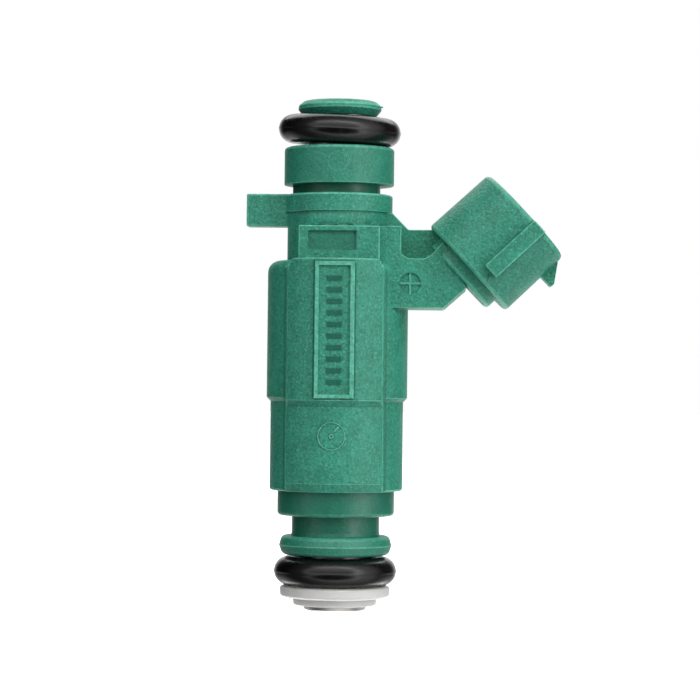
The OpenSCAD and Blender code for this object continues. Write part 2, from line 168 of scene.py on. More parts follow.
# ---------- camera and light: places in millimetres, the floor in metres ----------
CAMERA_PLACE, CAMERA_TARGET = (13.99, -309.69, 27.5), (1.51, 0.06, 31.22)
CAMERA_LENS, CAMERA_ROLL = 132.84, math.radians(0.63)
GLOW_LEFT, GLOW_RIGHT = 0.12, 0.95
RING_LOW, RING_TOP, RING_LEFT = 0.95, 1.75, 0.62
FRONT_LOW, FRONT_TOP, DARK_BACK = 0.04, 1.3, 0.05
BACKDROP, TABLE = 1.3, 1.0
FLOOR_HALF_W, FLOOR_Z = 2, -0.3 * MM


# ---------- mesh making ----------
def rounded(corners, steps=5):
    """Closed outline through corners (a, b) or (a, b, radius of the round there)."""
    points = []
    for i, corner in enumerate(corners):
        here = Vector(corner[:2])
        radius = corner[2] if len(corner) > 2 else 0
        if radius <= 0:
            points.append(here)
            continue
        back = Vector(corners[i - 1][:2]) - here
        on = Vector(corners[(i + 1) % len(corners)][:2]) - here
        half = back.angle(on) / 2
        reach = min(radius / math.tan(half), 0.49 * back.length, 0.49 * on.length)
        radius = reach * math.tan(half)
        centre = here + (back.normalized() + on.normalized()).normalized() * radius / math.sin(half)
        start = here + back.normalized() * reach - centre
        end = here + on.normalized() * reach - centre
        sweep = start.angle_signed(end)
        for k in range(steps + 1):
            turned = Matrix.Rotation(-sweep * k / steps, 2) @ start
            points.append(centre + turned)
    return points


def solid(name, points, faces):
    """Object from points in millimetres, with its faces turned outwards."""
    mesh = bpy.data.meshes.new(name)
    mesh.from_pydata([tuple(p) for p in points], [], faces)
    work = bmesh.new()
    work.from_mesh(mesh)
    bmesh.ops.recalc_face_normals(work, faces=work.faces)
    work.to_mesh(mesh)
    work.free()
    obj = bpy.data.objects.new(name, mesh)
    bpy.context.scene.collection.objects.link(obj)
    return obj


def loft(name, rings, closed_ends=True):
    """Skin over rings of points, either capped at both ends or joined end to end."""
    count = len(rings[0])
    points = [p for ring in rings for p in ring]
    spans = len(rings) - 1 if closed_ends else len(rings)
    faces = []
    for i in range(spans):
        low, high = i * count, (i + 1) % len(rings) * count
        for k in range(count):
            n = (k + 1) % count
            faces.append((low + k, low + n, high + n, high + k))
    if closed_ends:
        faces.append(tuple(range(count)))
        faces.append(tuple(range(len(points) - count, len(points))))
    return solid(name, points, faces)


def lathe(name, outline, segments=256):
    """Closed outline of (radius, height) points turned round the Z axis."""
    rings = [
        [(r * math.cos(a), r * math.sin(a), z) for r, z in outline]
        for a in (TURN * i / segments for i in range(segments))
    ]
    return loft(name, rings, closed_ends=False)


def cylinder(name, low_z, high_z, radius, segments=128):
    """Plain upright cylinder, used as a cutting shape."""
    rings = [
        [(radius * math.cos(TURN * i / segments), radius * math.sin(TURN * i / segments), z)
         for i in range(segments)]
        for z in (low_z, high_z)
    ]
    return loft(name, rings)


def bevel(obj, width, segments=2):
    """Rounds the sharp edges of a simple solid."""
    work = bmesh.new()
    work.from_mesh(obj.data)
    sharp = [e for e in work.edges if e.calc_face_angle(0) > math.radians(25)]
    bmesh.ops.bevel(work, geom=sharp, offset=width, segments=segments, profile=0.5, affect="EDGES",
                    clamp_overlap=True)
    work.to_mesh(obj.data)
    work.free()
    return obj


def block(name, low, high, edge=0):
    """Box between two corners, with its edges rounded."""
    (x0, y0, z0), (x1, y1, z1) = low, high
    rings = [[(x0, y0, z), (x1, y0, z), (x1, y1, z), (x0, y1, z)] for z in (z0, z1)]
    made = loft(name, rings)
    return bevel(made, edge) if edge else made


def standing_plate(name, outline, half_t, edge):
    """Plate in the XZ plane, centred on Y, from an outline of (x, z) points."""
    rings = [[(x, y, z) for x, z in outline] for y in (-half_t, half_t)]
    return bevel(loft(name, rings), edge)


def round_rect(w, h, r, steps=16):
    """Outline of a rectangle with round corners, centred."""
    x, y = w / 2, h / 2
    return rounded([(-x, -y, r), (x, -y, r), (x, y, r), (-x, y, r)], steps)


def swept_rect(name, w, h, r, path, matrix):
    """Round-cornered rectangle swept along Z: path holds (inset, height) points."""
    rings = []
    for inset, z in path:
        outline = round_rect(w - 2 * inset, h - 2 * inset, max(r - inset, 0.2))
        rings.append([matrix @ Vector((x, y, z)) for x, y in outline])
    return loft(name, rings)


def open_round(corners, steps=5):
    """Rounded path whose two ends stay as they are."""
    return rounded([(*corners[0][:2], 0), *corners[1:-1], (*corners[-1][:2], 0)], steps)


def tool_from_node(name):
    """Copy of a CAD node in millimetres with its seams closed, used to cut a piece to fit it."""
    work = bmesh.new()
    work.from_mesh(frame["nodes"][name].data)
    bmesh.ops.scale(work, vec=(1 / MM,) * 3, verts=work.verts)
    bmesh.ops.remove_doubles(work, verts=work.verts, dist=1e-4)
    mesh = bpy.data.meshes.new("tool_" + name)
    work.to_mesh(mesh)
    work.free()
    obj = bpy.data.objects.new("tool_" + name, mesh)
    bpy.context.scene.collection.objects.link(obj)
    return obj


def apply_modifiers(obj):
    """Leaves the object with the mesh that its modifiers make."""
    graph = bpy.context.evaluated_depsgraph_get()
    made = bpy.data.meshes.new_from_object(obj.evaluated_get(graph))
    obj.modifiers.clear()
    obj.data = made


def combine(base, operation, tools):
    """Adds solids to the base, or cuts them from it, and removes them."""
    for tool in tools:
        step = base.modifiers.new(operation, "BOOLEAN")
        step.operation = operation
        step.object = tool
        step.solver = "MANIFOLD"
    apply_modifiers(base)
    for tool in tools:
        bpy.data.objects.remove(tool)
    return base


def mark_faces(obj, polish, painted_light):
    """Stores on each face how tightly it is rounded, outwards above 0 and inwards below, which the
    material turns into painted highlights on rounded edges and painted shade in hollows, and how
    polished its mould was."""
    work = bmesh.new()
    work.from_mesh(obj.data)
    edge_painted_light = work.faces.layers.float.new("edge_painted_light")
    mould_polish = work.faces.layers.float.new("mould_polish")
    for face in work.faces:
        area = face.calc_area() + 1e-9
        bend = sum(edge.calc_face_angle_signed(0) / 2 * edge.calc_length() / area
                   for edge in face.edges if len(edge.link_faces) == 2)
        share = (abs(bend) - EDGE_BEND_LOW) / (EDGE_BEND_HIGH - EDGE_BEND_LOW)
        share = math.copysign(min(max(share, 0), 1), bend)
        centre = face.calc_center_median()
        extra = painted_light(centre)
        if area > HOLLOW_FACE_AREA:
            share, extra = max(share, 0), max(extra, 0)
        # Above 0 the face gets a painted highlight, below 0 painted shade.
        face[edge_painted_light] = extra if extra < 0 else max(share, extra) or share
        face[mould_polish] = polish(centre)
    work.to_mesh(obj.data)
    work.free()


def nowhere(centre):
    """No extra polish or painted light on any face."""
    return 0.0


def lightly_polished(centre):
    """The same light polish on every face."""
    return 0.3


def place(obj, body, slot, *nodes, sharp=35, polish=nowhere, painted_light=nowhere):
    """Smooths a finished piece, turns it into metres and lets it stand for its CAD nodes."""
    mark_faces(obj, polish, painted_light)
    obj.data.shade_smooth()
    obj.data.set_sharp_from_angle(angle=math.radians(sharp))
    weigh = obj.modifiers.new("flat faces stay flat", "WEIGHTED_NORMAL")
    weigh.keep_sharp = True
    weigh.weight = 80
    apply_modifiers(obj)
    obj.data.transform(Matrix.Scale(MM, 4))
    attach(obj, body)
    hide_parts(*nodes)
    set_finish(obj, slot)
    return obj


# ---------- housing ----------
def housing_turned():
    """Round shape of the housing: necks, collars and flange."""
    return lathe("housing", rounded([
        (CORE_R, NECK_LOW_Z), (5.3, NECK_LOW_Z, 0.05), (LOW_NECK_R, 9.5, 0.3),
        (LOW_NECK_R, LOW_COLLAR_Z, 0.15), (LOW_COLLAR_R, LOW_COLLAR_Z, 0.45),
        (LOW_COLLAR_R, BODY_Z, 0.1), (7.4, BODY_Z), (7.4, 15), (6, 16), (6, 41),
        (SHOULDER_R, 41.2), (SHOULDER_R, FLANGE_Z, 0.08), (FLANGE_R, FLANGE_Z, 0.08),
        (FLANGE_R, CLIP_NECK_Z, 0.25), (CLIP_NECK_R, CLIP_NECK_Z, 0.1),
        (CLIP_NECK_R, COLLAR_Z, 0.08), (COLLAR_R, COLLAR_Z, 0.12),
        (COLLAR_R, COLLAR_TOP_Z, 0.4), (CORE_R, COLLAR_TOP_Z),
    ]))


def panel_share(x, z):
    """How much of the raised panel stands at a point seen from the front, from 0 to 1."""
    dx = np.abs(x) - (PANEL_HALF_W - PANEL_CORNER)
    dz = z - (PANEL_TOP_Z - PANEL_CORNER)
    outside = np.hypot(np.maximum(dx, 0), np.maximum(dz, 0)) + np.minimum(np.maximum(dx, dz), 0)
    t = np.clip((PANEL_CORNER - outside) / PANEL_BLEND + 0.5, 0, 1)
    return t * t * (3 - 2 * t)


def straight_and_arcs(corners, spans, steps=6):
    """Path through corners (r, z, round), its straight stretches split into spans parts each."""
    pieces = []
    for i in range(1, len(corners) - 1):
        before, here, after = corners[i - 1], corners[i], corners[i + 1]
        trio = [(*before[:2], 0), here, (*after[:2], 0)]
        pieces.append(rounded(trio, steps)[1:-1])
    pieces = [[Vector(corners[0][:2])], *pieces, [Vector(corners[-1][:2])]]
    path = []
    for piece, parts in zip(pieces, [1, *spans]):
        if path:
            start = path[-1]
            path += [start.lerp(piece[0], k / parts) for k in range(1, parts)]
        path += piece
    return path


def body_angles():
    """Angles round the body, close together where the panels' edges run."""
    edge = [math.radians(a) for a in np.arange(42, 50, 0.2)]
    wide = [math.radians(a) for a in np.arange(0, 42, 1.4)]
    side = [math.radians(a) for a in np.arange(50, 90, 1.4)]
    quarter = np.array(wide + edge + side)
    half = np.concatenate([quarter, math.pi - quarter[quarter > 0][::-1], [math.pi / 2]])
    return np.unique(np.concatenate([half, half + math.pi]) % TURN)


def body_shell():
    """Body over the coil, whose front and back panels rise softly out of the round."""
    spans = [2, 3, 30, 2, 40, 3]
    plain = straight_and_arcs([
        (6, BODY_Z), (BODY_LOW_R, BODY_Z, 0.3), (BODY_LOW_R - 0.005, BODY_Z + 1, 6),
        (BODY_LOW_R, STEP_Z, 0.1), (BODY_R, STEP_Z + STEP_H, 0.1), (BODY_R, BODY_TOP_Z, 1.4),
        (5.5, BODY_TOP_Z),
    ], spans)
    raised = straight_and_arcs([
        (6, BODY_Z), (BODY_LOW_R - 0.1, BODY_Z, 0.1),
        (BODY_LOW_R + PANEL_PROUD_LOW, BODY_Z + 1, 0.15),
        (BODY_LOW_R + PANEL_PROUD_LOW, STEP_Z - 0.5, 0.15),
        (BODY_R + PANEL_PROUD, STEP_Z + 0.2, 0.15),
        (BODY_R + PANEL_PROUD, PANEL_TOP_Z, 0.35), (5.5, PANEL_TOP_Z),
    ], spans)
    rings = []
    for a in body_angles():
        ring = []
        for (r0, z0), (r1, z1) in zip(plain, raised):
            share = float(panel_share(r1 * math.sin(a), z1))
            r, z = r0 + (r1 - r0) * share, z0 + (z1 - z0) * share
            ring.append((r * math.sin(a), -r * math.cos(a), z))
        for r, z in ((CORE_R, BODY_TOP_Z - 1), (CORE_R, BODY_Z + 1)):
            ring.append((r * math.sin(a), -r * math.cos(a), z))
        rings.append(ring)
    return loft("body", rings, closed_ends=False)


def connector_shell():
    """Connector's outer wall and socket as one cup."""
    path = open_round([
        (1, 0), (0, 0, 0.45), (SHELL_TAPER, SHELL_D, 0.6), (SHELL_WALL, SHELL_D, 0.2),
        (SHELL_WALL, SHELL_D - CAVITY_D, 0.15), (SHELL_WALL + 0.8, SHELL_D - CAVITY_D),
    ])
    return swept_rect("shell", SHELL_H, SHELL_W, SHELL_ROUND, path, PLUG_FRAME)


def connector_parts():
    """Base slab, side ribs and locking nib of the connector."""
    slab_path = open_round([(1, -SLAB_D), (0, -SLAB_D, 0.45), (0, 0.6), (0.1, 0.6)])
    slab = swept_rect("slab", SLAB_H, SLAB_W, SLAB_ROUND, slab_path,
                      PLUG_FRAME @ Matrix.Translation((-0.05, 0, 0)))
    made = [slab]
    for side in (-1, 1):
        low_y, high_y = sorted((side * 6.5, side * (SHELL_W / 2 + RIB_PROUD)))
        rib = block("rib", (RIB_X - RIB_HALF_W, low_y, RIB_START),
                    (RIB_X + RIB_HALF_W, high_y, SHELL_D - 0.02), 0.16)
        rib.data.transform(PLUG_FRAME)
        made.append(rib)
    low = -SHELL_H / 2
    outline = rounded([
        (low + 0.4, 5.8), (low, 5.8), (NIB_TIP_X, 5.85, 0.15), (NIB_TIP_X, 6.35, 0.15),
        (low, 8.4, 0.1), (low + 0.4, 8.4),
    ], 3)
    nib = loft("nib", [[(x, y, z) for x, z in outline] for y in (-NIB_HALF_W, NIB_HALF_W)])
    bevel(nib, 0.1)
    nib.data.transform(PLUG_FRAME)
    made.append(nib)
    for obj in made:
        turn_outwards(obj)
    return made


def turn_outwards(obj):
    """Makes a closed mesh's faces point outwards again after the plug's mirrored frame."""
    work = bmesh.new()
    work.from_mesh(obj.data)
    bmesh.ops.recalc_face_normals(work, faces=work.faces)
    work.to_mesh(obj.data)
    work.free()


def arm():
    """Arm that carries the connector: a thick plate, and a thin web that reaches up beside the
    cylinder above the body."""
    plate = rounded([
        (3, 36.2), (12.65, 36.2, 0.4), (15.35, 38.6, 0.15), (12.6, 44.05, 0.1), (11.9, 43.3),
        (11.2, 42.5, 0.5), (10.45, 42.03, 1.2), (8.6, 42.03, 1), (7.63, 42.5, 0.6),
        (7.63, 45.85, 0.12), (3, 45.85),
    ])
    web = rounded([
        (3, 38), (13.3, 38), (12.6, 45.6, 0.1), (8.4, 45.6, 0.3), (6.5, 47.55, 0.2), (3, 47.55),
    ])
    return [standing_plate("arm_plate", plate, ARM_HALF_T, 0.17),
            standing_plate("arm_web", web, WEB_HALF_T, 0.1)]


def front_pad():
    """Pad on the front of the upper cylinder."""
    return block("pad", (PAD_X0, PAD_FACE_Y, 41.4), (PAD_X1, -3.5, PAD_TOP_Z), 0.15)


def plate_bars():
    """Row of plain raised bars in the window of the framed plate."""
    floor_y = PLATE_FACE_Y + WINDOW_DEPTH
    first_z = PLATE_Z + PLATE_H / 2 - BAR_PITCH * (BAR_COUNT - 1) / 2
    return [
        block("bar", (-BAR_W / 2, floor_y - BAR_PROUD, first_z + i * BAR_PITCH - BAR_H / 2),
              (BAR_W / 2, floor_y + 0.2, first_z + i * BAR_PITCH + BAR_H / 2), 0.06)
        for i in range(BAR_COUNT)
    ]


def arm_mark():
    """Cutting shape of the shallow round mark on the arm, which leaves a raised cross."""
    face_y, floor_y = -ARM_HALF_T, -ARM_HALF_T + MARK_DEPTH
    rings = [
        [(MARK_X + MARK_R * math.cos(TURN * i / 64), y, MARK_Z + MARK_R * math.sin(TURN * i / 64))
         for i in range(64)]
        for y in (face_y - 0.5, floor_y)
    ]
    disc = loft("mark", rings)
    reach, half_w = 1.2 * MARK_R, MARK_CROSS_W / 2
    cross = [
        block("cross", (MARK_X - x, face_y + MARK_DEPTH / 3, MARK_Z - z),
              (MARK_X + x, floor_y + 0.1, MARK_Z + z), 0.04)
        for x, z in ((reach, half_w), (half_w, reach))
    ]
    return combine(disc, "DIFFERENCE", cross)


def bead_on_round(name, radius, points, thick, closed=True):
    """Thin raised bead on the round front of the housing, along (across, up) points."""
    rings = []
    count = len(points)
    for i, here in enumerate(points):
        before = points[i - 1] if closed or i else here
        after = points[(i + 1) % count] if closed or i < count - 1 else here
        along = (Vector(after) - Vector(before)).normalized()
        side = Vector((along.y, -along.x))
        ring = []
        for k in range(8):
            a = TURN * k / 8
            x, z = Vector(here) + side * thick * math.cos(a)
            r = radius + thick * math.sin(a)
            ring.append((r * math.sin(x / radius), -r * math.cos(x / radius), z))
        rings.append(ring)
    return loft(name, rings, closed_ends=not closed)


def circle_points(x, z, r, count=48):
    """Points round a circle seen from the front."""
    return [(x + r * math.cos(TURN * i / count), z + r * math.sin(TURN * i / count))
            for i in range(count)]


def mould_marks():
    """Marks that the mould leaves: a plain dial, a gate ring on the collar and two flash specks."""
    face_r = BODY_LOW_R + PANEL_PROUD_LOW
    tick = [(DIAL_X + 0.35, DIAL_Z + 0.55), (DIAL_X + 0.7, DIAL_Z + 1.0),
            (DIAL_X + 0.85, DIAL_Z + 1.1)]
    marks = [
        bead_on_round("dial", face_r, circle_points(DIAL_X, DIAL_Z, DIAL_R), 0.06),
        bead_on_round("dial_hub", face_r, circle_points(DIAL_X, DIAL_Z, 0.22, 16), 0.09),
        bead_on_round("dial_tick", face_r, tick, 0.13, closed=False),
        bead_on_round("gate_ring", COLLAR_R, circle_points(GATE_X, GATE_Z, GATE_R), 0.03),
    ]
    for x in (-2.35, 2.25):
        speck = [(x - SPECK_HALF_W, SPECK_Z), (x, SPECK_Z + 0.03), (x + SPECK_HALF_W, SPECK_Z)]
        marks.append(bead_on_round("speck", face_r + 0.02, speck, 0.08, closed=False))
    return marks


def locating_tab():
    """Tab that keeps the injector from turning."""
    return block("tab", (HOUSING_LOW.x, -1.5, 45.9), (-4.8, 1.5, 49.8), 0.2)


def clip_key():
    """Small key across the clip groove, above the tab."""
    return block("key", (-5.5, -0.9, 49.5), (-3.5, 0.9, 51.1))


def housing_core():
    """Cutting shapes for the steel parts and the coil pack inside."""
    return [
        cylinder("bore", NECK_LOW_Z - 1, COLLAR_TOP_Z + 1, TUBE_R),
        cylinder("coil_room", COIL_LOW.z, COIL_HIGH.z, COIL_HIGH.x, 192),
        block("tower_room", (TOWER_X0, -TOWER_HALF_W, TOWER_LOW_Z),
              (TOWER_X1, TOWER_HALF_W, TOWER_TOP_Z)),
    ]


def housing_polish(centre):
    """How polished the mould was where a face of the housing lies, from 0 to 1."""
    x, y, z = centre
    in_plate = abs(x) < PLATE_W / 2 - PLATE_BORDER and PLATE_Z < z < PLATE_Z + PLATE_H
    if in_plate and PLATE_FACE_Y + 0.05 < y < PLATE_FACE_Y + WINDOW_DEPTH - 0.01:
        return 1.0 if abs(x) < BAR_W / 2 + 0.01 else 0.0
    in_pad = PAD_WINDOW_X0 < x < PAD_WINDOW_X1 and PAD_WINDOW_Z0 < z < PAD_WINDOW_Z1
    if in_pad and abs(y - PAD_WINDOW_Y) < 0.02:
        return 0.45
    if z < BODY_Z or (z > CLIP_NECK_Z and math.hypot(x, y) < CLIP_NECK_R + 0.2):
        return 0.6
    if z > COLLAR_Z:
        return 0.2
    return 0.0


def housing_painted_light(centre):
    """Painted highlight, above 0, on the plate's frame and the panels' edges, and painted shade,
    below 0, in the line beside the panels."""
    x, y, z = centre
    beside = abs(x) - PANEL_HALF_W
    if BODY_Z < z < PANEL_TOP_Z - PANEL_CORNER and abs(beside) < 0.2:
        reach = math.hypot(x, y) - (BODY_R if z > STEP_Z else BODY_LOW_R)
        # Beside the panel a line of painted shade; along the panel's edge a painted highlight.
        if beside > 0 and abs(reach) < 0.05:
            return -0.9
        if beside < -0.05 and 0.25 < reach < 0.45:
            return 0.9
    # The plate's frame gets a painted highlight.
    on_plate = abs(x) < PLATE_W / 2 + 0.05 and abs(z - PLATE_Z - PLATE_H / 2) < PLATE_H / 2 + 0.05
    return 0.5 if on_plate and y < PLATE_FACE_Y + 0.14 else 0.0


def housing():
    """The green moulding: its solids joined, the hollows cut, then the small marks added."""
    made = housing_turned()
    plate = block("plate", (-PLATE_W / 2, PLATE_FACE_Y, PLATE_Z),
                  (PLATE_W / 2, -7.6, PLATE_Z + PLATE_H), 0.13)
    shell = connector_shell()
    turn_outwards(shell)
    combine(made, "UNION", [body_shell(), *arm(), front_pad(), locating_tab(), clip_key(),
                            plate, shell, *connector_parts()])
    window = block("window", (-PLATE_W / 2 + PLATE_BORDER, -10, PLATE_Z + PLATE_BORDER),
                   (PLATE_W / 2 - PLATE_BORDER, PLATE_FACE_Y + WINDOW_DEPTH,
                    PLATE_Z + PLATE_H - PLATE_BORDER))
    pad_window = block("pad_window", (PAD_WINDOW_X0, -8, PAD_WINDOW_Z0),
                       (PAD_WINDOW_X1, PAD_WINDOW_Y, PAD_WINDOW_Z1))
    combine(made, "DIFFERENCE", [window, pad_window, arm_mark(), *housing_core(),
                                 tool_from_node("terminal_left"), tool_from_node("terminal_right")])
    combine(made, "UNION", [*plate_bars(), *mould_marks()])
    return place(made, "injector", "green_nylon", "overmould", polish=housing_polish,
                 painted_light=housing_painted_light)


# ---------- rings and lip ----------
def o_ring(name, z, lean_side=0.0, lean_front=0.0):
    """Moulded rubber ring with a fine parting line round its outside and inside."""
    outline = []
    for k in range(120):
        a = TURN * k / 120
        flash = FLASH_PROUD * math.exp(-(math.sin(a) / FLASH_SPREAD) ** 2)
        r = SEAL_SECTION / 2 - 0.03 + flash
        outline.append((SEAL_R + r * math.cos(a), r * math.sin(a)))
    made = lathe(name, outline)
    made.data.transform(Matrix.Translation((0, 0, z)) @ Matrix.Rotation(lean_side, 4, "Y")
                        @ Matrix.Rotation(lean_front, 4, "X"))
    return made


def inlet_lip():
    """Lip ring at the inlet, with a nib of flash at its parting line."""
    lip = lathe("inlet_lip", rounded([
        (BORE_R, TUBE_TOP_Z - LIP_SPIGOT_D), (LIP_SPIGOT_R, TUBE_TOP_Z - LIP_SPIGOT_D),
        (LIP_SPIGOT_R, TUBE_TOP_Z), (4.35, TUBE_TOP_Z, 0.1), (LIP_R, TUBE_TOP_Z + 0.8, 0.2),
        (LIP_R - 0.07, TUBE_TOP_Z + 1.3, 0.4),
        (4.3, TOP_Z, 0.5), (BORE_R, TOP_Z, 0.25),
    ]))
    nib = block("nib", (4.7, -0.9, TUBE_TOP_Z + 1.05), (5.2, -0.5, TUBE_TOP_Z + 1.22), 0.06)
    return combine(lip, "UNION", [nib])


def spacer_ring():
    """Green ring above the lower O-ring, with its own parting line."""
    mid_z = (SPACER_LOW.z + SPACER_HIGH.z) / 2
    r = SPACER_HIGH.x
    return lathe("spacer_ring", rounded([
        (TUBE_R + RING_CLEARANCE, SPACER_LOW.z), (r - 0.35, SPACER_LOW.z, 0.7),
        (r - 0.02, mid_z - 0.1, 0.3),
        (r + 0.03, mid_z), (r - 0.02, mid_z + 0.1, 0.1), (r - 0.3, SPACER_HIGH.z, 0.6),
        (TUBE_R + RING_CLEARANCE, SPACER_HIGH.z),
    ]))


def tip_ring():
    """White ring that holds the lower O-ring on."""
    r = TIP_RING_HIGH.x
    return lathe("tip_ring", rounded([
        (TUBE_R + RING_CLEARANCE, TIP_RING_LOW.z), (4.95, TIP_RING_LOW.z, 0.2), (5.04, 1.55, 0.1),
        (5.9, 1.6, 0.2), (r, 1.85, 0.3), (r, 2.85, 0.2), (r - 0.4, TIP_RING_HIGH.z, 0.3),
        (TUBE_R + RING_CLEARANCE, TIP_RING_HIGH.z),
    ]))


# ---------- terminals and winding ----------
def terminal(name, side):
    """Stamped strip: a leg in the bobbin's tower, a slanted run and a blade with a tapered tip."""
    half_t, half_w = TERMINAL_T / 2, BLADE_W / 2
    leg_z = node_box(name)[0].z
    tip_d = SHELL_D - BLADE_RECESS
    run = standing_plate(name, [
        (LEG_X, leg_z), (LEG_X + LEG_W, leg_z), (LEG_X + LEG_W, KNEE_Z),
        (PLUG_X - 0.9, PLUG_Z - 1.6), (PLUG_X - 1.9, PLUG_Z - 0.6), (LEG_X, KNEE_Z + RUN_W),
    ], half_t, 0.04)
    root = block("root", (-RUN_W / 2, -half_t + 0.01, -2.2), (RUN_W / 2, half_t - 0.01, 2), 0.04)
    blade = bevel(loft("blade", [
        [(-x, -y, z), (x, -y, z), (x, y, z), (-x, y, z)]
        for x, y, z in ((half_w, half_t, SHELL_D - CAVITY_D - 0.5),
                        (half_w, half_t, tip_d - BLADE_TAPER),
                        (half_w - 0.4, 0.4 * half_t, tip_d))
    ]), 0.05)
    for obj in (root, blade):
        obj.data.transform(PLUG_FRAME)
        turn_outwards(obj)
    combine(run, "UNION", [root, blade])
    run.data.transform(Matrix.Translation((0, side * TERMINAL_PITCH / 2, 0)))
    return run


def winding():
    """Outer layer of wire, turn beside turn."""
    low, high = node_box("coil_winding")
    turns = round((high.z - low.z) / WIRE_D)
    pitch = (high.z - low.z) / turns
    wire_r = pitch / 2
    outline = [(BOBBIN_CORE_R, high.z), (BOBBIN_CORE_R, low.z), (high.x - wire_r, low.z)]
    for i in range(turns):
        middle_z = low.z + pitch * (i + 0.5)
        for a in (math.radians(30 * k - 90) for k in range(1, 7)):
            outline.append((high.x - wire_r * (1 - math.cos(a)), middle_z + wire_r * math.sin(a)))
    return lathe("winding", outline, 96)


# ---------- materials ----------
def add(tree, kind, inputs=None, **settings):
    """New shader node with its settings and inputs, which are values or other nodes' outputs."""
    node = tree.nodes.new("ShaderNode" + kind)
    for key, value in settings.items():
        setattr(node, key, value)
    for key, value in (inputs or {}).items():
        if isinstance(value, bpy.types.NodeSocket):
            tree.links.new(value, node.inputs[key])
        else:
            node.inputs[key].default_value = value
    return node


def material(name):
    """New node material, its tree, its shader and its object coordinates."""
    made = bpy.data.materials.new(name)
    made.use_nodes = True
    tree = made.node_tree
    shader = tree.nodes["Principled BSDF"]
    where = add(tree, "TexCoord").outputs["Object"]
    return made, tree, shader, where


def noise(tree, where, size_mm, detail=2.0, roughness=0.5):
    """Noise whose blobs are about size_mm across."""
    node = add(tree, "TexNoise", {"Vector": where, "Scale": 1 / (size_mm * MM), "Detail": detail,
                                  "Roughness": roughness})
    return node.outputs["Fac"]


def spread(tree, value, low, high, to_low, to_high):
    """Value mapped from one range to another, held at the ends."""
    node = add(tree, "MapRange", {"Value": value, "From Min": low, "From Max": high,
                                  "To Min": to_low, "To Max": to_high})
    return node.outputs["Result"]


def blend(tree, share, first, second):
    """Colour mixed from first to second by a share from 0 to 1."""
    node = add(tree, "Mix", data_type="RGBA")
    colours = [s for s in node.inputs if s.type == "RGBA"]
    tree.links.new(share, node.inputs[0])
    for socket, value in zip(colours, (first, second)):
        if isinstance(value, bpy.types.NodeSocket):
            tree.links.new(value, socket)
        else:
            socket.default_value = (*value, 1)
    return [s for s in node.outputs if s.type == "RGBA"][0]


def bump(tree, height, strength, depth_mm, under=None):
    """Normal bent by a height, on top of another bent normal if one is given."""
    inputs = {"Height": height, "Strength": strength, "Distance": depth_mm * MM}
    if under is not None:
        inputs["Normal"] = under
    return add(tree, "Bump", inputs).outputs["Normal"]


def math_node(tree, operation, first, second):
    """Two numbers joined by an operation of the Math node."""
    return add(tree, "Math", {0: first, 1: second}, operation=operation).outputs[0]


def times(tree, first, second):
    """Product of two numbers."""
    return math_node(tree, "MULTIPLY", first, second)


def plus(tree, first, second):
    """Sum of two numbers."""
    return math_node(tree, "ADD", first, second)


def moulded_nylon():
    """Glass-filled green nylon with a spark-eroded texture, polished patches darkened by painted
    shade, painted highlights on rounded edges and painted shade in hollows.
    """
    made, tree, shader, where = material("green_nylon")
    polished = add(tree, "Attribute", attribute_name="mould_polish").outputs["Fac"]
    textured = spread(tree, polished, 0, 1, 1, 0.12)
    cloud = spread(tree, noise(tree, where, 2.2, 5, 0.65), 0.35, 0.65, 0, 1)
    colour = blend(tree, cloud, (0.012, 0.255, 0.155), (0.024, 0.340, 0.222))
    fibre = spread(tree, noise(tree, where, 0.26, 3, 0.6), 0.50, 0.70, 0, 0.8)
    colour = blend(tree, times(tree, fibre, textured), colour, (0.10, 0.50, 0.36))
    pit = spread(tree, noise(tree, where, 0.31, 3, 0.6), 0.30, 0.50, 0.75, 0)
    colour = blend(tree, times(tree, pit, textured), colour, (0.008, 0.140, 0.085))
    # Polished faces take a darker green: painted shade for the dark surroundings they mirror,
    # mottled at random.
    mottle = spread(tree, noise(tree, where, 0.9, 4, 0.6), 0.35, 0.65, 0, 1)
    polished_shade_colour = blend(tree, mottle, (0.003, 0.115, 0.066), (0.010, 0.165, 0.104))
    colour = blend(tree, spread(tree, polished, 0, 0.9, 0, 1), colour, polished_shade_colour)
    # Painted shade in hollows and beside the panels, and patchy painted highlights on rounded edges
    # and the plate's frame.
    bend = add(tree, "Attribute", attribute_name="edge_painted_light").outputs["Fac"]
    colour = blend(tree, spread(tree, bend, -1, 0, 0.6, 0), colour, (0.006, 0.12, 0.07))
    patchy = spread(tree, noise(tree, where, 0.5, 2), 0.3, 0.7, 0.3, 0.95)
    painted_edge_highlight = times(tree, times(tree, spread(tree, bend, 0, 1, 0, 1), patchy), textured)
    colour = blend(tree, painted_edge_highlight, colour, (0.15, 0.66, 0.46))
    tree.links.new(colour, shader.inputs["Base Color"])
    rough = spread(tree, noise(tree, where, 0.5, 3), 0.3, 0.7, 0.46, 0.62)
    smooth = spread(tree, mottle, 0, 1, 0.72, 0.46)
    rough = times(tree, rough, add(tree, "Mix", {0: polished, 2: 1.0, 3: smooth},
                                   data_type="FLOAT").outputs[0])
    tree.links.new(rough, shader.inputs["Roughness"])
    coarse = bump(tree, times(tree, noise(tree, where, 0.34, 3), textured), 0.8, 0.13)
    fine = bump(tree, times(tree, noise(tree, where, 0.15, 2), textured), 0.6, 0.03, coarse)
    tree.links.new(fine, shader.inputs["Normal"])
    shader.inputs["Specular IOR Level"].default_value = 0.72
    return made


